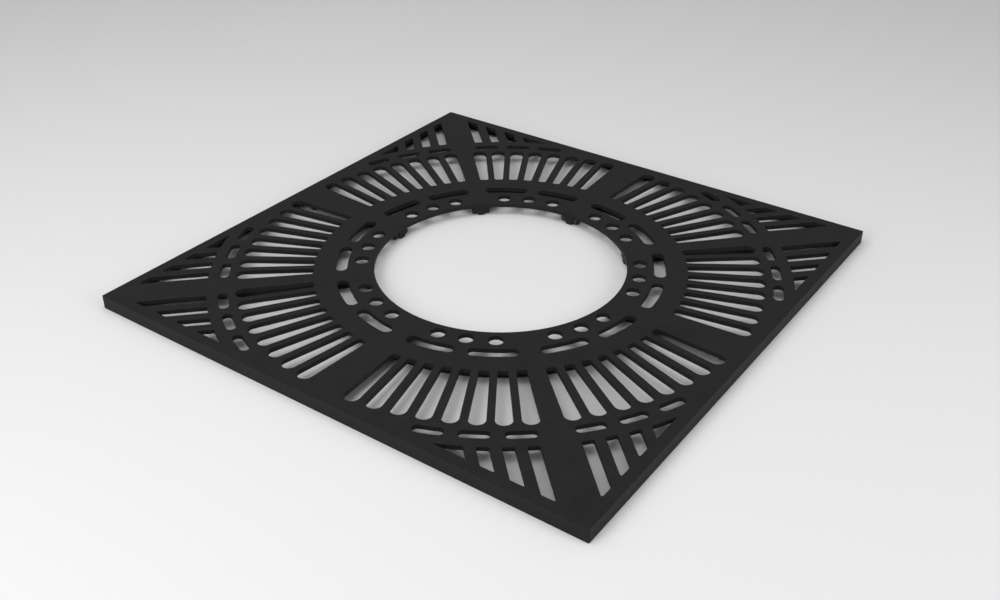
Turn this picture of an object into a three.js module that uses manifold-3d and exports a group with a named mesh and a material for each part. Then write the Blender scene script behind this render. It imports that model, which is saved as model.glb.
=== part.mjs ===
// Square cast iron tree grate in four bolted quarter castings, round opening in the middle.
// Millimetres, +Z up. The origin is the middle of the underside, on the ground that the grate lies on.
import * as THREE from 'three';
import { mergeVertices } from 'three/addons/utils/BufferGeometryUtils.js';
import Module from 'manifold-3d';

const wasm = await Module();
wasm.setup();

// Whole grate
const grateSide = 1200;
const grateDepth = 30;
const plateThickness = 10;
const openingDiameter = 555;

// Quarter casting's own outline
const seamGap = 0.4;
const cornerRadius = 3;

// Fan of long slots in each eighth: they widen outwards between bars with parallel sides
const fanSlotCount = 8;
const fanFirstAngle = 6.1;
const fanLastAngle = 41.1;
const fanBarWidth = 15;
const fanFromOpening = 127.5;
const fanFromSide = 26;
const fanCornerRadius = 5;

// Round holes in the ring beside the opening
const dotAngles = [11.25, 22.5, 33.75];
const dotFromOpening = 28.5;
const dotDiameter = 32;

// Curved slots between the round holes and the fan
const innerArcAngles = [11.9, 33.1];
const innerArcHalfAngle = 8.65;
const innerArcFromOpening = 71.5;
const innerArcWidth = 26;

// Short curved slots beyond the fan, towards the corners
const outerArcAngles = [23, 31, 39];
const outerArcHalfAngle = 2.85;
const outerArcFromFan = 26.5;
const outerArcWidth = 20;

// Straight corner slots, parallel to the diagonal on both sides of it, then one that tapers to a point
const cornerSlotCount = 3;
const cornerSlotFirstEdge = 36.6;
const cornerSlotPitch = 44.1;
const cornerSlotWidth = 23;
const cornerSlotFromFan = 59.5;
const cornerSlotBorder = 24.5;
const cornerSlotCornerRadius = 3;

// Walls and ribs under the plate, thinner at the foot so that the casting leaves its mould
const skirtTopThickness = 14;
const skirtFootThickness = 11;
const flangeTopThickness = 9;
const flangeFootThickness = 7.5;
const diagonalRibTopWidth = 20;
const diagonalRibFootWidth = 16;
const ringRibFromOpening = 106.5;
const ringRibTopWidth = 16;
const ringRibFootWidth = 11;
const ringRibDepth = 12;
const toeRadius = 3;
const rootChamfer = 3;
const plateOverlap = 2;

// Lugs round the cross holes, with a round foot that reaches the ground
const lugMargin = 1;
const lugSetback = 2;
const seamLugThickness = 12;
const guardLugHalfLength = 20;
const outerBoltFromSide = 55;
const crossHoleClearance = 1;

// Joining bolts, nuts and washers, ten millimetre thread
const boltDiameter = 10;
const boltHeadFlats = 16;
const boltHeadHeight = 6.4;
const boltTipChamfer = 1;
const threadProjection = 3.6;
const nutHeight = 8.4;
const threadClearance = 0.6;
const washerRim = 3.7;
const washerThickness = 1.6;
const contactGap = 0.3;

// Facets on round work
const openingSteps = 20;
const cornerSteps = 3;
const fanTipSteps = 7;
const smallCornerSteps = 1;
const dotSteps = 14;
const arcSlotSteps = 3;
const shortArcSlotSteps = 1;
const remnantSteps = 2;
const arcSlotEndSteps = 5;
const ringRibSteps = 48;
const toeSteps = 1;
const lugSteps = 6;
const holeSteps = 10;
const hexSides = 6;

// Directions in plan
const fullTurn = 2 * Math.PI;
const halfTurn = fullTurn / 2;
const rightAngle = halfTurn / 2;
const diagonalAngle = rightAngle / 2;

// Sizes that follow from the ones above
const halfSide = grateSide / 2;
const seamEdge = seamGap / 2;
const openingRadius = openingDiameter / 2;
const undersideHeight = grateDepth - plateThickness;
const ribTop = undersideHeight + plateOverlap;
const rootStart = undersideHeight - rootChamfer;
const rootSpread = ribTop - rootStart;
const dotCircleRadius = openingRadius + dotFromOpening;
const innerArcMidRadius = openingRadius + innerArcFromOpening;
const ringRibMidRadius = openingRadius + ringRibFromOpening;
const fanInnerRadius = openingRadius + fanFromOpening;
const fanOuterRadius = halfSide - fanFromSide;
const fanPitch = (fanLastAngle - fanFirstAngle) / (fanSlotCount - 1);
const outerArcMidRadius = fanOuterRadius + outerArcFromFan;
const cornerSlotInnerRadius = fanOuterRadius + cornerSlotFromFan;
const borderLine = (halfSide - cornerSlotBorder) * Math.SQRT2;
const crossHoleDiameter = boltDiameter + crossHoleClearance;
const threadBore = boltDiameter + threadClearance;
const washerDiameter = threadBore + 2 * washerRim;
const lugRadius = washerDiameter / 2 + lugMargin;
const webStart = openingRadius + lugSetback;
const innerBoltRadius = webStart + lugRadius;
const outerBoltRadius = halfSide - outerBoltFromSide;
const boltHeight = lugRadius;
const cutOverrun = seamLugThickness;

const castIron = new THREE.MeshStandardMaterial({ color: 0x2a2a2b, roughness: 0.72, metalness: 0.25 });
const blackedSteel = new THREE.MeshStandardMaterial({ color: 0x1d1d1e, roughness: 0.5, metalness: 0.6 });

function radians(degrees) {
  return THREE.MathUtils.degToRad(degrees);
}

// Outline drawn out along +Z, with holes all the way through
function extruded(outline, length, holes = []) {
  const shape = new THREE.Shape(outline);
  shape.holes = holes.map((hole) => new THREE.Path(hole));
  return new THREE.ExtrudeGeometry(shape, { depth: length, bevelEnabled: false });
}

// Profile turned about +Z: its x is the radius, its y is up, and it runs anticlockwise
function revolved(profile, steps) {
  return new THREE.LatheGeometry(profile, steps, rightAngle, fullTurn).rotateX(rightAngle);
}

// Closed geometry as a solid that can be joined and cut; triangles with no area, at a pole, are left out
function toSolid(geometry) {
  geometry.deleteAttribute('normal');
  geometry.deleteAttribute('uv');
  const merged = mergeVertices(geometry);
  const corners = merged.getIndex().array;
  const triangles = [];
  for (let i = 0; i < corners.length; i += 3) {
    const [a, b, c] = corners.slice(i, i + 3);
    if (a !== b && b !== c && c !== a) triangles.push(a, b, c);
  }
  return new wasm.Manifold(new wasm.Mesh({
    numProp: 3,
    vertProperties: merged.getAttribute('position').array,
    triVerts: new Uint32Array(triangles),
  }));
}

function joined(geometries) {
  return geometries.map(toSolid).reduce((whole, solid) => whole.add(solid));
}

function toGeometry(solid) {
  const mesh = solid.getMesh();
  const geometry = new THREE.BufferGeometry();
  geometry.setAttribute('position', new THREE.BufferAttribute(mesh.vertProperties, mesh.numProp));
  geometry.setIndex(new THREE.BufferAttribute(mesh.triVerts, 1));
  geometry.computeVertexNormals();
  return geometry;
}

// Points along an arc about a middle point, from one angle to the other, both ends included
function arcPoints(middle, radius, fromAngle, toAngle, steps) {
  const points = [];
  for (let i = 0; i <= steps; i += 1) {
    const angle = fromAngle + (toAngle - fromAngle) * (i / steps);
    points.push(new THREE.Vector2(middle.x + radius * Math.cos(angle), middle.y + radius * Math.sin(angle)));
  }
  return points;
}

function polar(radius, angle) {
  return new THREE.Vector2(radius * Math.cos(angle), radius * Math.sin(angle));
}

// An outline whose outward corners are rounded, each by its own radius; a radius of zero keeps the corner
function roundedOutline(corners, radii, steps) {
  const points = [];
  corners.forEach((corner, i) => {
    const before = corners[(i + corners.length - 1) % corners.length];
    const after = corners[(i + 1) % corners.length];
    const back = before.clone().sub(corner).normalize();
    const ahead = after.clone().sub(corner).normalize();
    const halfAngle = Math.acos(THREE.MathUtils.clamp(back.dot(ahead), -1, 1)) / 2;
    const room = Math.min(before.distanceTo(corner), after.distanceTo(corner)) / 2;
    const radius = Math.min(radii[i], room * Math.tan(halfAngle));
    if (radius <= 0) {
      points.push(corner.clone());
      return;
    }
    const bisector = back.clone().add(ahead).normalize();
    const middle = corner.clone().addScaledVector(bisector, radius / Math.sin(halfAngle));
    const start = corner.clone().addScaledVector(back, radius / Math.tan(halfAngle)).sub(middle).angle();
    const end = corner.clone().addScaledVector(ahead, radius / Math.tan(halfAngle)).sub(middle).angle();
    const turn = Math.atan2(Math.sin(end - start), Math.cos(end - start));
    points.push(...arcPoints(middle, radius, start, start + turn, steps));
  });
  return points;
}

function turned(points, angle) {
  return points.map((point) => point.clone().rotateAround(new THREE.Vector2(), angle));
}

function mirroredAboutDiagonal(points) {
  return points.map((point) => new THREE.Vector2(point.y, point.x)).reverse();
}

// Plan outline of one quarter: two seam edges, two outer sides and its share of the opening
function quarterOutline() {
  const startAngle = Math.asin(seamEdge / openingRadius);
  const cornerMiddle = new THREE.Vector2(halfSide - cornerRadius, halfSide - cornerRadius);
  return [
    new THREE.Vector2(halfSide, seamEdge),
    ...arcPoints(cornerMiddle, cornerRadius, 0, rightAngle, cornerSteps),
    new THREE.Vector2(seamEdge, halfSide),
    ...arcPoints(new THREE.Vector2(), openingRadius, rightAngle - startAngle, startAngle, openingSteps),
  ];
}

// Fan slot on the X axis: its edges are parallel to the bars half a pitch away, its outer end is round
function fanSlot() {
  const halfPitch = radians(fanPitch) / 2;
  const halfBar = fanBarWidth / 2;
  const tipMiddle = (fanOuterRadius + halfBar) / (1 + Math.sin(halfPitch));
  const tipRadius = fanOuterRadius - tipMiddle;
  const tipAngle = rightAngle + halfPitch;
  const cornerX = fanInnerRadius + fanCornerRadius;
  const cornerY = (cornerX * Math.sin(halfPitch) - halfBar - fanCornerRadius) / Math.cos(halfPitch);
  const tip = new THREE.Vector2(tipMiddle, 0);
  const upper = new THREE.Vector2(cornerX, cornerY);
  const lower = new THREE.Vector2(cornerX, -cornerY);
  return [
    ...arcPoints(tip, tipRadius, -tipAngle, tipAngle, fanTipSteps),
    ...arcPoints(upper, fanCornerRadius, tipAngle, halfTurn, smallCornerSteps),
    ...arcPoints(lower, fanCornerRadius, halfTurn, fullTurn - tipAngle, smallCornerSteps),
  ];
}

// Curved slot of even width with round ends, centred on the X axis
function arcSlot(midRadius, width, halfAngle, steps) {
  const endRadius = width / 2;
  const endAngle = radians(halfAngle) - endRadius / midRadius;
  const centre = new THREE.Vector2();
  const far = arcPoints(centre, midRadius + endRadius, -endAngle, endAngle, steps);
  const near = arcPoints(centre, midRadius - endRadius, endAngle, -endAngle, steps);
  const left = polar(midRadius, endAngle);
  const right = polar(midRadius, -endAngle);
  const leftEnd = arcPoints(left, endRadius, endAngle, endAngle + halfTurn, arcSlotEndSteps);
  const rightEnd = arcPoints(right, endRadius, halfTurn - endAngle, fullTurn - endAngle, arcSlotEndSteps);
  return [...far, ...leftEnd.slice(1, -1), ...near, ...rightEnd.slice(1, -1)];
}

// Corner slot below the diagonal: inner end on a circle about the grate, outer end along the grate's border
function cornerSlot(nearEdge, farEdge) {
  const nearAngle = Math.asin(nearEdge / cornerSlotInnerRadius);
  const farAngle = Math.asin(farEdge / cornerSlotInnerRadius);
  const corners = [
    ...arcPoints(new THREE.Vector2(), cornerSlotInnerRadius, -nearAngle, -farAngle, shortArcSlotSteps),
    new THREE.Vector2(borderLine - farEdge, -farEdge),
    new THREE.Vector2(borderLine - nearEdge, -nearEdge),
  ];
  const radii = corners.map(() => cornerSlotCornerRadius);
  return turned(roundedOutline(corners, radii, smallCornerSteps), diagonalAngle);
}

// Last corner slot: it tapers to a point where the circle meets the border
function cornerRemnant(nearEdge) {
  const farEdge = (borderLine - Math.sqrt(2 * cornerSlotInnerRadius ** 2 - borderLine ** 2)) / 2;
  const nearAngle = Math.asin(nearEdge / cornerSlotInnerRadius);
  const farAngle = Math.asin(farEdge / cornerSlotInnerRadius);
  const innerEnd = arcPoints(new THREE.Vector2(), cornerSlotInnerRadius, -nearAngle, -farAngle, remnantSteps);
  const corners = [...innerEnd, new THREE.Vector2(borderLine - nearEdge, -nearEdge)];
  const radii = corners.map((corner, i) => (i > 0 && i < remnantSteps ? 0 : cornerSlotCornerRadius));
  return turned(roundedOutline(corners, radii, smallCornerSteps), diagonalAngle);
}

// All openings between the seam and the diagonal; the other half of the quarter mirrors them
function eighthOpenings() {
  const openings = [];
  for (let i = 0; i < fanSlotCount; i += 1) {
    openings.push(turned(fanSlot(), radians(fanFirstAngle + i * fanPitch)));
  }
  for (const angle of dotAngles) {
    const middle = polar(dotCircleRadius, radians(angle));
    openings.push(arcPoints(middle, dotDiameter / 2, 0, fullTurn, dotSteps).slice(1));
  }
  for (const angle of innerArcAngles) {
    const slot = arcSlot(innerArcMidRadius, innerArcWidth, innerArcHalfAngle, arcSlotSteps);
    openings.push(turned(slot, radians(angle)));
  }
  for (const angle of outerArcAngles) {
    const slot = arcSlot(outerArcMidRadius, outerArcWidth, outerArcHalfAngle, shortArcSlotSteps);
    openings.push(turned(slot, radians(angle)));
  }
  for (let i = 0; i < cornerSlotCount; i += 1) {
    const nearEdge = cornerSlotFirstEdge + i * cornerSlotPitch;
    openings.push(cornerSlot(nearEdge, nearEdge + cornerSlotWidth));
  }
  openings.push(cornerRemnant(cornerSlotFirstEdge + cornerSlotCount * cornerSlotPitch));
  return openings;
}

function platePanel() {
  const eighth = eighthOpenings();
  const openings = [...eighth, ...eighth.map(mirroredAboutDiagonal)];
  return extruded(quarterOutline(), plateThickness, openings).translate(0, 0, undersideHeight);
}

// Lays a profile along a straight line through the middle: its x is across the line to the left, its y is up
function layAlong(profile, angle, from, to) {
  const along = new THREE.Vector3(Math.cos(angle), Math.sin(angle), 0);
  const up = new THREE.Vector3(0, 0, 1);
  const across = new THREE.Vector3().crossVectors(up, along);
  const start = along.clone().multiplyScalar(from);
  const place = new THREE.Matrix4().makeBasis(across, up, along).setPosition(start);
  return extruded(profile, to - from).applyMatrix4(place);
}

// Profile of a wall with one upright face; the other leans out and spreads to a chamfered root in the plate
function wallProfile(face, topThickness, footThickness, side) {
  const corners = [
    new THREE.Vector2(face, 0),
    new THREE.Vector2(face + side * footThickness, 0),
    new THREE.Vector2(face + side * topThickness, rootStart),
    new THREE.Vector2(face + side * (topThickness + rootSpread), ribTop),
    new THREE.Vector2(face, ribTop),
  ];
  return roundedOutline(corners, [0, toeRadius, 0, 0, 0], toeSteps);
}

// Profile of a rib that leans out on both sides to chamfered roots in the plate
function ribProfile(middle, topWidth, footWidth, foot) {
  const corners = [
    new THREE.Vector2(middle - footWidth / 2, foot),
    new THREE.Vector2(middle + footWidth / 2, foot),
    new THREE.Vector2(middle + topWidth / 2, rootStart),
    new THREE.Vector2(middle + topWidth / 2 + rootSpread, ribTop),
    new THREE.Vector2(middle - topWidth / 2 - rootSpread, ribTop),
    new THREE.Vector2(middle - topWidth / 2, rootStart),
  ];
  return roundedOutline(corners, [toeRadius, toeRadius, 0, 0, 0, 0], toeSteps);
}

function diagonalRib() {
  const profile = ribProfile(0, diagonalRibTopWidth, diagonalRibFootWidth, 0);
  return layAlong(profile, diagonalAngle, webStart, grateSide);
}

// Concentric rib under the unbroken ring between the curved slots and the fan
function ringRib() {
  const foot = undersideHeight - ringRibDepth;
  const profile = ribProfile(ringRibMidRadius, ringRibTopWidth, ringRibFootWidth, foot);
  return revolved([...profile, profile[0]], ringRibSteps);
}

// Stands a profile upright across a radius: its x is outwards, its y is up, and it runs clockwise
function standAcross(profile, angle, startOffset, length) {
  const upright = new THREE.Matrix4().makeRotationX(rightAngle);
  const shift = new THREE.Matrix4().makeTranslation(0, startOffset, 0);
  const place = new THREE.Matrix4().makeRotationZ(angle).multiply(shift).multiply(upright);
  return extruded(profile, length).applyMatrix4(place);
}

// Lug that hangs from the plate with a half-round foot
function lug(radius, angle, startOffset, length) {
  const foot = arcPoints(new THREE.Vector2(radius, boltHeight), lugRadius, halfTurn, fullTurn, lugSteps);
  const shoulders = [
    new THREE.Vector2(radius + lugRadius, ribTop),
    new THREE.Vector2(radius - lugRadius, ribTop),
  ];
  return standAcross([...foot, ...shoulders], angle, startOffset, length);
}

function crossHole(radius, angle, halfLength) {
  const middle = new THREE.Vector2(radius, boltHeight);
  const outline = arcPoints(middle, crossHoleDiameter / 2, 0, fullTurn, holeSteps).slice(1);
  return standAcross(outline, angle, halfLength, 2 * halfLength);
}

// One quarter casting in the corner between +X and +Y
function quarterCasting() {
  const seamLugEnd = seamEdge + seamLugThickness;
  const walls = [
    layAlong(wallProfile(halfSide, skirtTopThickness, skirtFootThickness, -1), 0, 0, halfSide),
    layAlong(wallProfile(-halfSide, skirtTopThickness, skirtFootThickness, 1), rightAngle, 0, halfSide),
    layAlong(wallProfile(seamEdge, flangeTopThickness, flangeFootThickness, 1), 0, webStart, halfSide),
    layAlong(wallProfile(-seamEdge, flangeTopThickness, flangeFootThickness, -1), rightAngle, webStart, halfSide),
    diagonalRib(),
    ringRib(),
    lug(innerBoltRadius, 0, seamLugEnd, seamLugThickness),
    lug(outerBoltRadius, 0, seamLugEnd, seamLugThickness),
    lug(innerBoltRadius, rightAngle, -seamEdge, seamLugThickness),
    lug(outerBoltRadius, rightAngle, -seamEdge, seamLugThickness),
    lug(innerBoltRadius, diagonalAngle, guardLugHalfLength, 2 * guardLugHalfLength),
  ];
  const footprint = extruded(quarterOutline(), grateDepth);
  const body = joined(walls).intersect(toSolid(footprint)).add(toSolid(platePanel()));
  const seamHoleHalf = seamLugEnd + cutOverrun;
  const guardHoleHalf = guardLugHalfLength + cutOverrun;
  const holes = [
    crossHole(innerBoltRadius, 0, seamHoleHalf),
    crossHole(outerBoltRadius, 0, seamHoleHalf),
    crossHole(innerBoltRadius, rightAngle, seamHoleHalf),
    crossHole(outerBoltRadius, rightAngle, seamHoleHalf),
    crossHole(innerBoltRadius, diagonalAngle, guardHoleHalf),
  ];
  return toGeometry(body.subtract(joined(holes)));
}

function hexOutline(flats) {
  const cornerDistance = flats / 2 / Math.cos(halfTurn / hexSides);
  return arcPoints(new THREE.Vector2(), cornerDistance, 0, fullTurn, hexSides).slice(1);
}

function ringOutline(diameter) {
  return arcPoints(new THREE.Vector2(), diameter / 2, 0, fullTurn, holeSteps).slice(1);
}

// Stack of parts along a joining bolt, measured from the seam
const gripHalf = seamEdge + seamLugThickness;
const washerStart = gripHalf + contactGap;
const washerEnd = washerStart + washerThickness;
const bearing = washerEnd + contactGap;
const boltLength = 2 * bearing + nutHeight + threadProjection;

// Hexagon bolt along +Z with its head under zero and its shank above
function boltGeometry() {
  const head = extruded(hexOutline(boltHeadFlats), boltHeadHeight).translate(0, 0, -boltHeadHeight);
  const shank = revolved([
    new THREE.Vector2(0, -boltHeadHeight / 2),
    new THREE.Vector2(boltDiameter / 2, -boltHeadHeight / 2),
    new THREE.Vector2(boltDiameter / 2, boltLength - boltTipChamfer),
    new THREE.Vector2(boltDiameter / 2 - boltTipChamfer, boltLength),
    new THREE.Vector2(0, boltLength),
  ], holeSteps);
  return toGeometry(joined([head, shank]));
}

function nutGeometry() {
  return extruded(hexOutline(boltHeadFlats), nutHeight, [ringOutline(threadBore)]);
}

function washerGeometry() {
  return extruded(ringOutline(washerDiameter), washerThickness, [ringOutline(threadBore)]);
}

const geometries = {
  casting: quarterCasting(),
  bolt: boltGeometry(),
  nut: nutGeometry(),
  washer: washerGeometry(),
};

function fastener(name, geometry, start) {
  const mesh = new THREE.Mesh(geometry, blackedSteel);
  mesh.name = name;
  mesh.position.z = start;
  return mesh;
}

// One joining bolt across a seam, with its axis turned level
function boltSet(station, radius, number) {
  const set = new THREE.Group();
  set.position.set(radius, 0, boltHeight);
  set.rotation.x = -rightAngle;
  set.add(fastener(`${station}_bolt_${number}`, geometries.bolt, -bearing));
  set.add(fastener(`${station}_head_washer_${number}`, geometries.washer, -washerEnd));
  set.add(fastener(`${station}_nut_washer_${number}`, geometries.washer, washerStart));
  set.add(fastener(`${station}_nut_${number}`, geometries.nut, bearing));
  return set;
}

function quarter(number) {
  const group = new THREE.Group();
  const casting = new THREE.Mesh(geometries.casting, castIron);
  casting.name = `quarter_casting_${number}`;
  group.add(casting);
  group.add(boltSet('inner', innerBoltRadius, number));
  group.add(boltSet('outer', outerBoltRadius, number));
  group.rotation.z = (number - 1) * rightAngle;
  return group;
}

const grate = new THREE.Group();
for (const number of [1, 2, 3, 4]) grate.add(quarter(number));

export default grate;
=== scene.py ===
# Square cast iron tree grate: four black quarter castings bolted together round a trunk opening
import math

import bmesh
import bpy
from mathutils import Matrix, Vector


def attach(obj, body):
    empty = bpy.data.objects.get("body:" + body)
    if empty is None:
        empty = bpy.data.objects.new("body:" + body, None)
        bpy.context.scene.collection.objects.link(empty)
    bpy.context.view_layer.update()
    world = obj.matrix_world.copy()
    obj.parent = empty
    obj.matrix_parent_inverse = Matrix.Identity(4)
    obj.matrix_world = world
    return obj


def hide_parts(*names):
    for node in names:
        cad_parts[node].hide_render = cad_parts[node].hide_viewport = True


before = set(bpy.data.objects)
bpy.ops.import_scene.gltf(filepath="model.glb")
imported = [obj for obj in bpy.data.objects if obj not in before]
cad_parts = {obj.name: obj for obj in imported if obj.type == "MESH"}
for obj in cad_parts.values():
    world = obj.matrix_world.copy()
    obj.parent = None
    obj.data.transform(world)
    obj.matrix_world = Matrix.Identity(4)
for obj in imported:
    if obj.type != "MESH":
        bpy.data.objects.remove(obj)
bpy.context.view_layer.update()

# Lengths in the dictionaries below are millimetres, angles are degrees
metresPerMillimetre = 0.001
hairline = 0.01                                        # two points closer than this are one
angleSlack = 0.001                                     # two angles closer than this share are one
fullTurn, quarterTurn, diagonal = 360, 90, 45          # the diagonal is counted from +X, as all turns are
print("frame loaded:", len(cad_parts), "nodes")


# Camera and light

cameraView = {
    "lens": 40.897, "sensor": 36,
    "azimuth": -54.5155, "elevation": 32.3157,         # where it stands, counted from the -Y side and upwards
    "target": (-90.047, -62.497, 0), "distance": 2424.207,
    "farthest": 100000,                                # nothing beyond this is drawn
}


def placeCamera(view):
    azimuth = math.radians(view["azimuth"])
    elevation = math.radians(view["elevation"])
    away = Vector((math.sin(azimuth) * math.cos(elevation),
                   -math.cos(azimuth) * math.cos(elevation),
                   math.sin(elevation)))
    data = bpy.data.cameras.new("camera")
    data.lens = view["lens"]
    data.sensor_width = view["sensor"]
    data.clip_end = view["farthest"] * metresPerMillimetre
    camera = bpy.data.objects.new("camera", data)
    camera.location = (Vector(view["target"]) + away * view["distance"]) * metresPerMillimetre
    camera.rotation_euler = (-away).to_track_quat("-Z", "Y").to_euler()
    bpy.context.scene.collection.objects.link(camera)
    bpy.context.scene.camera = camera


softBoxes = {                                          # round lamps, all aimed at the middle of the floor
    "width": 2000, "distance": 3500,
    "lamps": {                                         # degrees round from +X, degrees up, watts
        "overhead": (0, 90, 20),
        "leftHigh": (135, 55, 20),
        "leftLow": (180, 28, 44),
        "rightLow": (270, 28, 30),
    },
}


def hangSoftBoxes(boxes):
    for name, (azimuth, elevation, power) in boxes["lamps"].items():
        data = bpy.data.lights.new(name, "AREA")
        data.shape = "DISK"
        data.size = boxes["width"] * metresPerMillimetre
        data.energy = power
        light = bpy.data.objects.new(name, data)
        lifted = Matrix.Rotation(math.radians(-elevation), 3, "Y")
        way = Matrix.Rotation(math.radians(azimuth), 3, "Z") @ lifted @ Vector((1, 0, 0))
        light.location = way * boxes["distance"] * metresPerMillimetre
        light.rotation_euler = way.to_track_quat("Z", "Y").to_euler()
        bpy.context.scene.collection.objects.link(light)


placeCamera(cameraView)
hangSoftBoxes(softBoxes)
bpy.context.scene.view_settings.view_transform = "Standard"
print("camera and lights placed")


# Materials

def fromHex(text):                                     # an sRGB colour made linear
    channels = [int(text[i:i + 2], 16) / 255 for i in (1, 3, 5)]
    linear = [c / 12.92 if c <= 0.04045 else ((c + 0.055) / 1.055) ** 2.4 for c in channels]
    return (*linear, 1.0)


def addNode(tree, kind, settings=None, links=None):
    node = tree.nodes.new(kind)
    for name, value in (settings or {}).items():
        if name in node.inputs:
            node.inputs[name].default_value = value
        else:
            setattr(node, name, value)
    for name, source in (links or {}).items():
        tree.links.new(source, node.inputs[name])
    return node


def newMaterial(name):
    material = bpy.data.materials.new(name)
    material.use_nodes = True
    material.node_tree.nodes.clear()
    return material, material.node_tree


def finishMaterial(tree, shader):
    addNode(tree, "ShaderNodeOutputMaterial", links={"Surface": shader.outputs[0]})


def perMetre(millimetres):                             # noise scale for features of that size
    return 1 / (millimetres * metresPerMillimetre)


castSkin = {
    "dark": "#0e0e0e", "light": "#222222",
    "blotch": 38, "blotchDetail": 5,                   # how the coating pooled and thinned
    "swell": 11, "swellDetail": 0, "swellRise": 0.5,   # slow unevenness that the mould leaves
    "grit": 2.6, "gritDetail": 3, "gritRise": 0.55,    # moulding sand is 0.3 mm, drawn coarser to show
    "smooth": 0.50, "rough": 0.74,                     # roughness where the coating is thick, and thin
    "ior": 1.5, "metallic": 0,
    "reflection": 0.2,                                 # 0.5 is the usual amount, and this coating is matt
}


# Sand-cast grey iron, dipped in black coating: near black, dull, with a faint sandy skin and soft blotches
def coatedCastIron():
    material, tree = newMaterial("blackCoatedCastIron")
    place = addNode(tree, "ShaderNodeTexCoord").outputs["Object"]
    blotch, swell, grit = [
        addNode(tree, "ShaderNodeTexNoise",
                {"Scale": perMetre(castSkin[name]), "Detail": castSkin[name + "Detail"]},
                {"Vector": place}).outputs["Fac"]
        for name in ("blotch", "swell", "grit")]
    tone = addNode(tree, "ShaderNodeMixRGB",
                   {"Color1": fromHex(castSkin["dark"]), "Color2": fromHex(castSkin["light"])},
                   {"Fac": blotch})
    dullness = addNode(tree, "ShaderNodeMapRange",
                       {"To Min": castSkin["smooth"], "To Max": castSkin["rough"]},
                       {"Value": blotch})
    uneven = addNode(tree, "ShaderNodeBump",
                     {"Distance": castSkin["swellRise"] * metresPerMillimetre},
                     {"Height": swell})
    skin = addNode(tree, "ShaderNodeBump",
                   {"Distance": castSkin["gritRise"] * metresPerMillimetre},
                   {"Height": grit, "Normal": uneven.outputs["Normal"]})
    shader = addNode(tree, "ShaderNodeBsdfPrincipled",
                     {"IOR": castSkin["ior"], "Metallic": castSkin["metallic"],
                      "Specular IOR Level": castSkin["reflection"]},
                     {"Base Color": tone.outputs["Color"], "Roughness": dullness.outputs["Result"],
                      "Normal": skin.outputs["Normal"]})
    finishMaterial(tree, shader)
    return material


blackedSkin = {
    "colour": "#3c3c3c", "metallic": 1,
    "smooth": 0.40, "rough": 0.56,
    "grain": 1.5, "grainDetail": 2,                    # the oxide's grain is under 0.1 mm, drawn coarser
}


# Steel with a black oxide finish, lightly oiled: dark grey metal with soft highlights
def blackOxideSteel():
    material, tree = newMaterial("blackOxideSteel")
    place = addNode(tree, "ShaderNodeTexCoord").outputs["Object"]
    grain = addNode(tree, "ShaderNodeTexNoise",
                    {"Scale": perMetre(blackedSkin["grain"]), "Detail": blackedSkin["grainDetail"]},
                    {"Vector": place})
    dullness = addNode(tree, "ShaderNodeMapRange",
                       {"To Min": blackedSkin["smooth"], "To Max": blackedSkin["rough"]},
                       {"Value": grain.outputs["Fac"]})
    shader = addNode(tree, "ShaderNodeBsdfPrincipled",
                     {"Base Color": fromHex(blackedSkin["colour"]), "Metallic": blackedSkin["metallic"]},
                     {"Roughness": dullness.outputs["Result"]})
    finishMaterial(tree, shader)
    return material


floorSkin = {"colour": "#e9e9e9", "roughness": 0.9, "reflection": 0.2}


# Matt emulsion on a smooth floor: pale, with no gloss
def studioFloorPaint():
    material, tree = newMaterial("studioFloorPaint")
    shader = addNode(tree, "ShaderNodeBsdfPrincipled",
                     {"Base Color": fromHex(floorSkin["colour"]), "Roughness": floorSkin["roughness"],
                      "Specular IOR Level": floorSkin["reflection"]})
    finishMaterial(tree, shader)
    return material


castIron = coatedCastIron()
blackSteel = blackOxideSteel()
floorPaint = studioFloorPaint()
print("materials made")


# Mesh helpers: every piece is modelled in millimetres and turned to metres when it becomes an object

def layOut(name, bm, material):
    bmesh.ops.scale(bm, verts=bm.verts, vec=(metresPerMillimetre,) * 3)
    mesh = bpy.data.meshes.new(name)
    bm.to_mesh(mesh)
    bm.free()
    mesh.materials.append(material)
    piece = bpy.data.objects.new(name, mesh)
    bpy.context.scene.collection.objects.link(piece)
    return piece


def newVerts(geom):
    return [item for item in geom if isinstance(item, bmesh.types.BMVert)]


def turned(bm, degrees, axis="Z"):
    bmesh.ops.rotate(bm, verts=bm.verts, matrix=Matrix.Rotation(math.radians(degrees), 3, axis))
    return bm


def moved(bm, x, y, z):
    bmesh.ops.translate(bm, verts=bm.verts, vec=(x, y, z))
    return bm


def outline(points, rounded=None):                     # a flat face; rounded gives an offset to some corners
    bm = bmesh.new()
    corners = [bm.verts.new(point) for point in points]
    bm.faces.new(corners)
    for number, (offset, segments) in (rounded or {}).items():
        bmesh.ops.bevel(bm, geom=[corners[number]], offset=offset, offset_type="OFFSET", segments=segments,
                        profile=0.5, affect="VERTICES", material=-1)
    return bm


def drawnOut(bm, way):                                 # a flat face drawn out along a straight way
    run = bmesh.ops.extrude_face_region(bm, geom=bm.faces[:])["geom"]
    bmesh.ops.translate(bm, verts=newVerts(run), vec=way)
    bmesh.ops.recalc_face_normals(bm, faces=bm.faces)
    return bm


def carryRound(bm, geom, degrees, steps, rise=0, whole=False):  # round +Z; whole closes a full turn
    bmesh.ops.spin(bm, geom=geom, cent=(0, 0, 0), axis=(0, 0, 1), angle=math.radians(degrees), steps=steps,
                   dvec=(0, 0, rise), use_merge=whole, use_duplicate=False)


def prism(corners, bottom, top):
    return drawnOut(outline([(x, y, bottom) for x, y in corners]), (0, 0, top - bottom))


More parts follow.
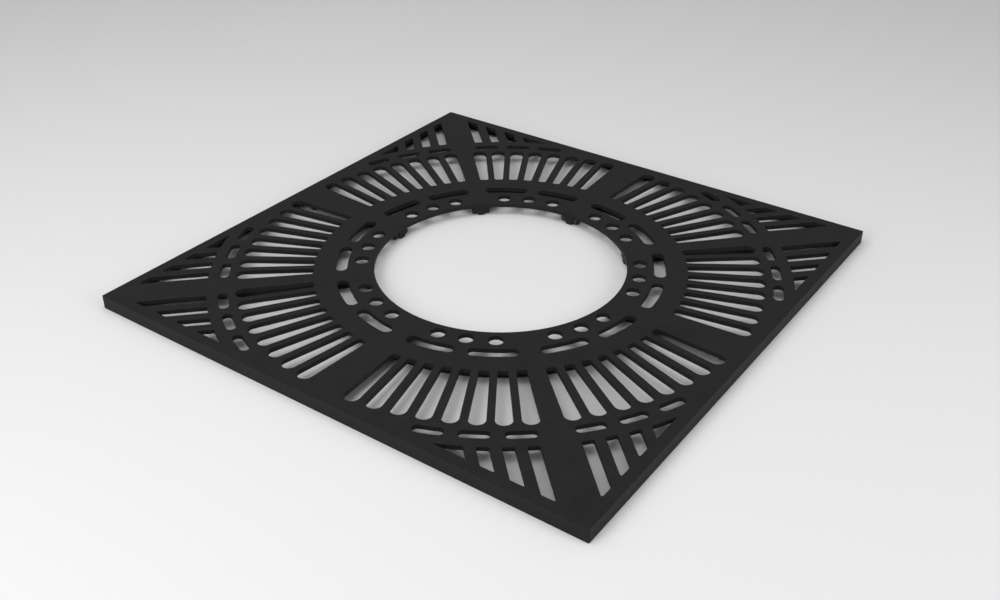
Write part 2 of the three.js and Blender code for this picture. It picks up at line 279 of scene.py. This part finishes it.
def rod(diameter, bottom, top, segments):
    bm = bmesh.new()
    bmesh.ops.create_cone(bm, cap_ends=True, segments=segments, radius1=diameter / 2, radius2=diameter / 2,
                          depth=top - bottom)
    return moved(bm, 0, 0, (bottom + top) / 2)


def edgesWhere(bm, chosen):
    return [edge for edge in bm.edges if all(chosen(vert.co) for vert in edge.verts)]


def runs(edge, axis):                                  # whether an edge runs along that axis at all
    return abs(edge.verts[0].co[axis] - edge.verts[1].co[axis]) > hairline


def uprights(bm, chosen):
    return [edge for edge in edgesWhere(bm, chosen) if runs(edge, 2)]


def roundEdges(bm, edges, offset, segments):
    bmesh.ops.bevel(bm, geom=edges, offset=offset, offset_type="OFFSET", segments=segments, profile=0.5,
                    affect="EDGES", material=-1)


def flareEnds(bm, radius, steps):                      # a cutter so flared leaves a round rim at both faces
    for side in (1, -1):
        cap = max(bm.faces, key=lambda face: side * face.calc_center_median().z)
        out = up = 0
        for step in range(1, steps + 1):
            angle = math.radians(quarterTurn) * step / steps
            nextOut, nextUp = radius * (1 - math.cos(angle)), radius * math.sin(angle)
            bmesh.ops.inset_individual(bm, faces=[cap], thickness=out - nextOut, depth=nextUp - up,
                                       use_even_offset=True)
            out, up = nextOut, nextUp
        bmesh.ops.inset_individual(bm, faces=[cap], thickness=0, depth=overrun)
    return bm


def gathered(parts):                                   # several bodies in one mesh, not joined
    whole = bmesh.new()
    for part in parts:
        mesh = bpy.data.meshes.new("part")
        part.to_mesh(mesh)
        whole.from_mesh(mesh)
        bpy.data.meshes.remove(mesh)
        part.free()
    return whole


def worked(first, steps):                              # joins to the first body and cuts from it, in order
    body = bpy.data.objects.new("body", bpy.data.meshes.new("body"))
    tools = [bpy.data.objects.new("tool", bpy.data.meshes.new("tool")) for step in steps]
    for piece, bm in zip([body, *tools], [first, *[bm for operation, bm in steps]]):
        bm.to_mesh(piece.data)
        bm.free()
        bpy.context.scene.collection.objects.link(piece)
    for tool, (operation, bm) in zip(tools, steps):
        step = body.modifiers.new("step", "BOOLEAN")
        step.operation = operation
        step.object = tool
        step.solver = "MANIFOLD"
    graph = bpy.context.evaluated_depsgraph_get()
    result = bmesh.new()
    result.from_mesh(body.evaluated_get(graph).data)
    for piece in [body, *tools]:
        mesh = piece.data
        bpy.data.objects.remove(piece)
        bpy.data.meshes.remove(mesh)
    return result


# Quarter casting, drawn in the corner between +X and +Y

casting = {
    "side": 1200, "depth": 30, "plate": 10, "corner": 3, "cornerSteps": 6,
    "opening": 555, "openingSegments": 320,
    "seamGap": 0.1,                                    # between two quarters
    "skirtTop": 14, "skirtFoot": 11,                   # every wall is wider at the plate than at its foot
    "flangeTop": 9, "flangeFoot": 7.5,
    "webTop": 20, "webFoot": 16,
    "ringTop": 16, "ringFoot": 12, "ringMid": 386, "ringSteps": 60,
    "setback": 2,                                      # ribs and lugs begin this far behind the opening
    "toe": 3, "toeSteps": 4,                           # rounding at the foot of a wall
    "fillet": 3, "filletSteps": 4,                     # hollow curve where a wall meets the plate
    "rim": 0.5, "rimSteps": 2,                         # rounding round every opening and side
    "overlap": 2,                                      # how far a wall reaches up into the plate
    "weld": 0.05,                                      # points closer than this are merged after the cuts
}

# Openings of one eighth, from the seam on +X to the diagonal: rings are radii, angles are counted from +X
fan = {"count": 8, "first": 6.1, "last": 41.1, "bar": 15, "inner": 408, "outer": 574,
       "corner": 5, "cornerSteps": 5, "tipSteps": 12}
dots = {"angles": (11.25, 22.5, 33.75), "ring": 306, "diameter": 32, "segments": 56}

# Straight slots beside the diagonal: first and pitch are counted from it, border from the outer side
cornerSlots = {"count": 3, "first": 36.6, "pitch": 44.1, "width": 23, "ring": 633.5, "border": 24,
               "corner": 3, "cornerSteps": 4, "remnantSteps": 5}

# A curved slot has few steps, because the round at its ends can't take more than the length of one
innerArcs = {"angles": (11.9, 33.1), "half": 8.45, "ring": 349, "width": 26, "steps": 7, "endSteps": 10}
outerArcs = {"angles": (23, 31, 39), "half": 2.85, "ring": 600, "width": 21, "steps": 5, "endSteps": 10}

# Lugs with a cross hole, in pairs on each seam and single on the diagonal: ends are counted from these lines
lugs = {"radius": 10, "seamEnd": 12.2, "guardEnd": 20, "outerRing": 545, "footSteps": 8,
        "hole": 11, "holeSegments": 32, "rim": 0.8, "rimSteps": 2}

overrun = 5                                            # how far a cutter reaches past what it cuts
fullRound = 0.985                                      # share of a half width that a bevel can take
quarterTurns = {number: (number - 1) * quarterTurn for number in (1, 2, 3, 4)}
fanPitch = (fan["last"] - fan["first"]) / (fan["count"] - 1)
footLevel = -hairline                                  # feet go a hair too low, and the envelope trims them
plateBottom = casting["depth"] - casting["plate"]
rootLevel = plateBottom + hairline
ribTop = plateBottom + casting["overlap"]
cutBottom = plateBottom + casting["rim"]               # from here outwards the cutters are flared
cutTop = casting["depth"] - casting["rim"]
halfSide = casting["side"] / 2
seamEdge = casting["seamGap"] / 2
webStart = casting["opening"] / 2 + casting["setback"]
innerBoltRing = webStart + lugs["radius"]
toe = (casting["toe"], casting["toeSteps"])
fillet = (casting["fillet"], casting["filletSteps"])
rootSpread = casting["fillet"] + casting["rim"] / 2    # ledge on which the hollow curve ends


def fanCutter():
    halfPitch = math.radians(fanPitch) / 2

    def halfWidth(reach):
        return (reach * math.sin(halfPitch) - fan["bar"] / 2) / math.cos(halfPitch)

    near, far = fan["inner"], fan["outer"]
    nearHalf, farHalf = halfWidth(near), halfWidth(far)
    bm = prism([(near, -nearHalf), (far, -farHalf), (far, farHalf), (near, nearHalf)], cutBottom, cutTop)
    middle = (near + far) / 2
    roundEdges(bm, uprights(bm, lambda at: at.x < middle), fan["corner"], fan["cornerSteps"])
    roundEdges(bm, uprights(bm, lambda at: at.x > middle), farHalf * fullRound, fan["tipSteps"])
    return bm


def arcCutter(arc):
    inner, outer = arc["ring"] - arc["width"] / 2, arc["ring"] + arc["width"] / 2
    bm = bmesh.new()
    ends = [bm.verts.new((inner, 0, cutBottom)), bm.verts.new((outer, 0, cutBottom))]
    line = bm.edges.new(ends)
    carryRound(bm, [*ends, line], 2 * arc["half"], arc["steps"])
    bmesh.ops.dissolve_faces(bm, faces=bm.faces)
    turned(drawnOut(bm, (0, 0, cutTop - cutBottom)), -arc["half"])
    endAngle = math.radians(arc["half"])
    corners = uprights(bm, lambda at: math.isclose(abs(math.atan2(at.y, at.x)), endAngle, rel_tol=angleSlack))
    roundEdges(bm, corners, arc["width"] / 2 * fullRound, arc["endSteps"])
    return bm


def cornerCutters():                                   # drawn along +X, then turned to the diagonal
    borderLine = (halfSide - cornerSlots["border"]) * math.sqrt(2)
    ring, corner, cornerSteps = cornerSlots["ring"], cornerSlots["corner"], cornerSlots["cornerSteps"]

    def onRing(across):
        return (math.sqrt(ring ** 2 - across ** 2), -across)

    cutters = []
    for i in range(cornerSlots["count"]):
        near = cornerSlots["first"] + i * cornerSlots["pitch"]
        far = near + cornerSlots["width"]
        bm = prism([onRing(near), onRing(far), (borderLine - far, -far), (borderLine - near, -near)],
                   cutBottom, cutTop)
        for edge in uprights(bm, lambda at: True):     # a sharp corner gives up more of its sides
            roundEdges(bm, [edge], corner * math.tan(edge.calc_face_angle() / 2), cornerSteps)
        cutters.append(bm)

    # The last slot is what the ring and the border leave, down to the point where they meet
    near = cornerSlots["first"] + cornerSlots["count"] * cornerSlots["pitch"]
    tip = (borderLine - math.sqrt(2 * ring ** 2 - borderLine ** 2)) / 2
    steps = cornerSlots["remnantSteps"]
    curve = [onRing(near + (tip - near) * i / steps) for i in range(steps + 1)]
    bm = prism([*curve, (borderLine - near, -near)], cutBottom, cutTop)
    sharp = [Vector(curve[0]), Vector(curve[-1]), Vector((borderLine - near, -near))]
    ends = uprights(bm, lambda at: any((at.xy - end).length < hairline for end in sharp))
    roundEdges(bm, ends, corner, cornerSteps)
    return [turned(bm, diagonal) for bm in [*cutters, bm]]


def openingCutters():
    cutters = [turned(fanCutter(), fan["first"] + i * fanPitch) for i in range(fan["count"])]
    for angle in dots["angles"]:
        dot = rod(dots["diameter"], cutBottom, cutTop, dots["segments"])
        cutters.append(turned(moved(dot, dots["ring"], 0, 0), angle))
    for arc in (innerArcs, outerArcs):
        cutters += [turned(arcCutter(arc), angle) for angle in arc["angles"]]
    cutters += cornerCutters()
    eighth = gathered([flareEnds(cutter, casting["rim"], casting["rimSteps"]) for cutter in cutters])
    mirrored = eighth.copy()
    swapXY = Matrix(((0, 1, 0), (1, 0, 0), (0, 0, 1)))
    bmesh.ops.transform(mirrored, matrix=swapXY.to_4x4(), verts=mirrored.verts)
    bmesh.ops.reverse_faces(mirrored, faces=mirrored.faces)
    return gathered([eighth, mirrored])


def piercedPlate():                                    # larger than the quarter, the envelope trims it
    reach = halfSide + overrun
    slab = prism([(-overrun, -overrun), (reach, -overrun), (reach, reach), (-overrun, reach)],
                 plateBottom, casting["depth"] + overrun / 2)
    trunk = rod(casting["opening"], cutBottom, cutTop, casting["openingSegments"])
    flareEnds(trunk, casting["rim"], casting["rimSteps"])
    return worked(slab, [("DIFFERENCE", openingCutters()), ("DIFFERENCE", trunk)])


def wall(profile, rounded, degrees, start):            # runs out past the side, the envelope trims it
    bm = outline([(start, across, up) for across, up in profile], rounded)
    return turned(drawnOut(bm, (casting["side"] - start, 0, 0)), degrees)


def leaningWall(face, side, topWidth, footWidth, degrees, start):
    spread = topWidth + rootSpread
    profile = [(face - side * overrun, footLevel), (face + side * footWidth, footLevel),
               (face + side * topWidth, rootLevel), (face + side * spread, rootLevel),
               (face + side * spread, ribTop), (face - side * overrun, ribTop)]
    return wall(profile, {1: toe, 2: fillet}, degrees, start)


def ribProfile(middle, topWidth, footWidth):           # leans alike on both sides
    top, foot = topWidth / 2, footWidth / 2
    spread = top + rootSpread
    return [(middle - foot, footLevel), (middle + foot, footLevel), (middle + top, rootLevel),
            (middle + spread, rootLevel), (middle + spread, ribTop), (middle - spread, ribTop),
            (middle - spread, rootLevel), (middle - top, rootLevel)]


ribRounding = {0: toe, 1: toe, 2: fillet, 7: fillet}   # numbers of that profile's corners


def diagonalWeb():
    profile = ribProfile(0, casting["webTop"], casting["webFoot"])
    return wall(profile, ribRounding, diagonal, webStart)


def ringRib():
    profile = ribProfile(casting["ringMid"], casting["ringTop"], casting["ringFoot"])
    bm = outline([(x, 0, z) for x, z in profile], ribRounding)
    carryRound(bm, bm.faces[:], quarterTurn, casting["ringSteps"])
    bmesh.ops.recalc_face_normals(bm, faces=bm.faces)
    return bm


def lug(ring, degrees, start, end, roundedEnds):
    radius = lugs["radius"]
    bm = bmesh.new()
    bmesh.ops.create_cube(bm, size=1)
    bmesh.ops.scale(bm, verts=bm.verts, vec=(2 * radius, end - start, ribTop - footLevel))
    moved(bm, ring, (start + end) / 2, (ribTop + footLevel) / 2)
    feet = [edge for edge in edgesWhere(bm, lambda at: at.z < radius) if runs(edge, 1)]
    roundEdges(bm, feet, radius * fullRound, lugs["footSteps"])
    for place in roundedEnds:
        rim = [edge for edge in edgesWhere(bm, lambda at: abs(at.y - place) < hairline)
               if min(vert.co.z for vert in edge.verts) < ribTop - hairline]
        roundEdges(bm, rim, lugs["rim"], lugs["rimSteps"])
    return turned(bm, degrees)


def crossHole(ring, degrees, end):
    hole = rod(lugs["hole"], lugs["rim"] - end, end - lugs["rim"], lugs["holeSegments"])
    turned(flareEnds(hole, lugs["rim"], lugs["rimSteps"]), -quarterTurn, "X")
    return turned(moved(hole, ring, 0, lugs["radius"]), degrees)


def envelope():                                        # all that a quarter may fill, its outer rims round
    bm = prism([(seamEdge, seamEdge), (halfSide, seamEdge), (halfSide, halfSide), (seamEdge, halfSide)],
               0, casting["depth"])
    outerCorner = uprights(bm, lambda at: min(at.xy) > seamEdge + hairline)
    roundEdges(bm, outerCorner, casting["corner"], casting["cornerSteps"])
    rim = [edge for edge in edgesWhere(bm, lambda at: max(at.xy) > halfSide - casting["corner"] / 2)
           if not runs(edge, 2)]
    roundEdges(bm, rim, casting["rim"], casting["rimSteps"])
    return bm


def quarterCasting():
    seamEnd, guardEnd = lugs["seamEnd"], lugs["guardEnd"]
    ribs = [
        leaningWall(halfSide, -1, casting["skirtTop"], casting["skirtFoot"], 0, -overrun),
        leaningWall(-halfSide, 1, casting["skirtTop"], casting["skirtFoot"], quarterTurn, -overrun),
        leaningWall(seamEdge, 1, casting["flangeTop"], casting["flangeFoot"], 0, webStart),
        leaningWall(-seamEdge, -1, casting["flangeTop"], casting["flangeFoot"], quarterTurn, webStart),
        diagonalWeb(),
        ringRib(),
        lug(innerBoltRing, diagonal, -guardEnd, guardEnd, (-guardEnd, guardEnd)),
    ]
    holes = [crossHole(innerBoltRing, diagonal, guardEnd)]
    for ring in (innerBoltRing, lugs["outerRing"]):
        ribs += [lug(ring, 0, -overrun, seamEnd, (seamEnd,)),
                 lug(ring, quarterTurn, -seamEnd, overrun, (-seamEnd,))]
        holes += [crossHole(ring, 0, seamEnd), crossHole(ring, quarterTurn, seamEnd)]
    steps = [("UNION", rib) for rib in ribs] + [("INTERSECT", envelope())]
    steps += [("DIFFERENCE", hole) for hole in holes]
    return worked(piercedPlate(), steps)


sharpAngle = 40                                        # edges that turn more than this look sharp


def smoothSkin(piece):                                 # round rims shade round, flat faces stay flat
    piece.data.shade_smooth()
    piece.data.set_sharp_from_angle(angle=math.radians(sharpAngle))
    weighted = piece.modifiers.new("flatFacesFlat", "WEIGHTED_NORMAL")
    weighted.keep_sharp = True


def layCastings():
    quarter = quarterCasting()
    bmesh.ops.remove_doubles(quarter, verts=quarter.verts, dist=casting["weld"])
    closed = all(edge.is_manifold for edge in quarter.edges)
    print("quarter casting modelled:", len(quarter.faces), "faces, closed:", closed)
    for number, turn in quarterTurns.items():
        piece = layOut(f"quarterCasting_{number}", turned(quarter.copy(), turn), castIron)
        smoothSkin(piece)
        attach(piece, "root")
        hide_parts(f"quarter_casting_{number}")
    quarter.free()


layCastings()
print("castings laid out")


# Joining bolts across the seams, drawn along +Z with the seam at zero

fastener = {
    "thread": 10, "threadLength": 26, "threadSteps": 28,
    "pitch": 1.5, "threadDepth": 0.92,
    "crestShare": 0.12,                                # share of the pitch that is flat on top
    "crestFall": 0.04,                                 # the crests stay a little under the plain shank
    "spareTurns": 2,                                   # the thread is wound past both ends, then cut off
    "pointTurns": 2.5,                                 # how many pitches long the points at its ends are
    "tipChamfer": 1.2, "tipProjection": 3.6,           # the tip stands out of the nut
    "sides": 6, "flats": 16, "headHeight": 6.4,
    "chamferShare": 0.95, "chamferAngle": 30,          # share of the flats that the end face keeps
    "nutHeight": 8.4, "nutBore": 10.6, "nutCountersink": 0.7,
    "washer": 18, "washerBore": 10.6, "washerThickness": 1.6, "washerRim": 0.3, "washerRimSteps": 2,
    "gap": 0.3,                                        # between pieces that touch
    "roundSteps": 40,
    "weld": 0.02,                                      # points closer than this are merged after the cuts
}

# Levels along the bolt on the nut's side of the seam; the head's side has the same below zero
washerStart = lugs["seamEnd"] + fastener["gap"]
washerEnd = washerStart + fastener["washerThickness"]
bearing = washerEnd + fastener["gap"]
nutEnd = bearing + fastener["nutHeight"]
headEnd = bearing + fastener["headHeight"]
boltTip = nutEnd + fastener["tipProjection"]
threadStart = boltTip - fastener["threadLength"]


def lathe(profile, closed=False):                      # a profile carried all the way round +Z
    bm = bmesh.new()
    points = [bm.verts.new((x, 0, z)) for x, z in profile]
    pairs = [*zip(points, points[1:])] + ([(points[-1], points[0])] if closed else [])
    lines = [bm.edges.new(pair) for pair in pairs]
    carryRound(bm, [*points, *lines], fullTurn, fastener["roundSteps"], whole=True)
    bmesh.ops.remove_doubles(bm, verts=bm.verts, dist=hairline)
    bmesh.ops.recalc_face_normals(bm, faces=bm.faces)
    return bm


def hexBlock(bottom, top, chamferedEnds):              # hexagon whose corners a lathe has taken off
    halfSideAngle = fullTurn / fastener["sides"] / 2
    hexCorner = fastener["flats"] / 2 / math.cos(math.radians(halfSideAngle))
    block = turned(rod(2 * hexCorner, bottom, top, fastener["sides"]), halfSideAngle)
    keep = fastener["flats"] / 2 * fastener["chamferShare"]
    reach = hexCorner + fastener["gap"]
    drop = (reach - keep) * math.tan(math.radians(fastener["chamferAngle"]))
    profile = []
    for end, inward in ((bottom, 1), (top, -1)):
        if end in chamferedEnds:
            face = end - inward * hairline
            corner = [(0, face), (keep, face), (reach, end + inward * drop)]
        else:
            face = end - inward * overrun
            corner = [(0, face), (reach, face)]
        profile += corner if end == bottom else corner[::-1]
    return worked(block, [("INTERSECT", lathe(profile))])


def helicalThread(bottom, top):                        # a zigzag wound upwards, its ends closed to points
    pitch, steps, spare = fastener["pitch"], fastener["threadSteps"], fastener["spareTurns"]
    crest = fastener["thread"] / 2 - fastener["crestFall"]
    root = crest - fastener["threadDepth"]
    low, high = pitch * (1 - fastener["crestShare"]) / 2, pitch * (1 + fastener["crestShare"]) / 2
    pitches = math.ceil((top - bottom) / pitch) + 2 * spare
    turns = pitches - 1                                # the zigzag itself is one pitch high
    start, height = bottom - spare * pitch, pitches * pitch
    zigzag = ((root, 0), (crest, low), (crest, high), (root, pitch))
    bm = bmesh.new()
    points = [bm.verts.new((x, 0, start + z)) for x, z in zigzag]
    lines = [bm.edges.new(pair) for pair in zip(points, points[1:])]
    carryRound(bm, [*points, *lines], fullTurn * turns, steps * turns, rise=pitch / steps)
    bmesh.ops.remove_doubles(bm, verts=bm.verts, dist=hairline)
    middle = start + height / 2
    for side in (-1, 1):
        rim = [edge for edge in bm.edges if edge.is_boundary and side * (edge.verts[0].co.z - middle) > 0]
        raised = newVerts(bmesh.ops.extrude_edge_only(bm, edges=rim)["geom"])
        point = middle + side * (height / 2 + fastener["pointTurns"] * pitch)
        bmesh.ops.pointmerge(bm, verts=raised, merge_co=(0, 0, point))
    bmesh.ops.recalc_face_normals(bm, faces=bm.faces)
    return bm


def hexBolt():
    radius, chamfer = fastener["thread"] / 2, fastener["tipChamfer"]
    trim = lathe([(0, threadStart), (radius, threadStart), (radius, boltTip - chamfer),
                  (radius - chamfer, boltTip), (0, boltTip)])
    thread = worked(helicalThread(threadStart, boltTip), [("INTERSECT", trim)])
    shankStart = -(bearing + headEnd) / 2              # half way into the head
    shank = rod(fastener["thread"], shankStart, threadStart + fastener["pitch"], fastener["roundSteps"])
    head = hexBlock(-headEnd, -bearing, (-headEnd,))
    return worked(head, [("UNION", shank), ("UNION", thread)])


def hexNut():
    bore, sink = fastener["nutBore"] / 2, fastener["nutCountersink"]
    wide = bore + 2 * sink                             # leans at 45 degrees, from outside the nut
    drill = lathe([(0, bearing - sink), (wide, bearing - sink), (bore, bearing + sink),
                   (bore, nutEnd - sink), (wide, nutEnd + sink), (0, nutEnd + sink)])
    return worked(hexBlock(bearing, nutEnd, (bearing, nutEnd)), [("DIFFERENCE", drill)])


def washer(bottom, top):
    inner, outer = fastener["washerBore"] / 2, fastener["washer"] / 2
    bm = lathe([(inner, bottom), (outer, bottom), (outer, top), (inner, top)], closed=True)
    rim = [edge for edge in edgesWhere(bm, lambda at: at.xy.length > outer - hairline) if not runs(edge, 2)]
    roundEdges(bm, rim, fastener["washerRim"], fastener["washerRimSteps"])
    return bm


def layFasteners():
    kinds = {
        "bolt": hexBolt(),
        "nut": hexNut(),
        "head_washer": washer(-washerEnd, -washerStart),
        "nut_washer": washer(washerStart, washerEnd),
    }
    for kind, shape in kinds.items():
        bmesh.ops.remove_doubles(shape, verts=shape.verts, dist=fastener["weld"])
        closed = all(edge.is_manifold for edge in shape.edges)
        print(kind, "modelled:", len(shape.faces), "faces, closed:", closed)
        for station, ring in (("inner", innerBoltRing), ("outer", lugs["outerRing"])):
            for number, turn in quarterTurns.items():
                placed = moved(turned(shape.copy(), -quarterTurn, "X"), ring, 0, lugs["radius"])
                name = f"{station}_{kind}_{number}"
                piece = layOut(name + "_fine", turned(placed, turn), blackSteel)
                smoothSkin(piece)
                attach(piece, "root")
                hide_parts(name)
        shape.free()


layFasteners()
print("fasteners laid out")


# Studio

studio = {
    "floor": 16000,
    "floorDrop": 0.2,                                  # the floor stays clear of the feet
    "air": "#acacac",                                  # even grey light from all round
}


def layFloor():
    bm = bmesh.new()
    bmesh.ops.create_grid(bm, x_segments=1, y_segments=1, size=studio["floor"] / 2)
    floor = layOut("studioFloor", moved(bm, 0, 0, -studio["floorDrop"]), floorPaint)


def lightWorld():
    world = bpy.data.worlds.new("studioAir")
    world.use_nodes = True
    tree = world.node_tree
    tree.nodes.clear()
    air = addNode(tree, "ShaderNodeBackground", {"Color": fromHex(studio["air"])})
    addNode(tree, "ShaderNodeOutputWorld", links={"Surface": air.outputs[0]})
    bpy.context.scene.world = world


layFloor()
lightWorld()
print("studio made")
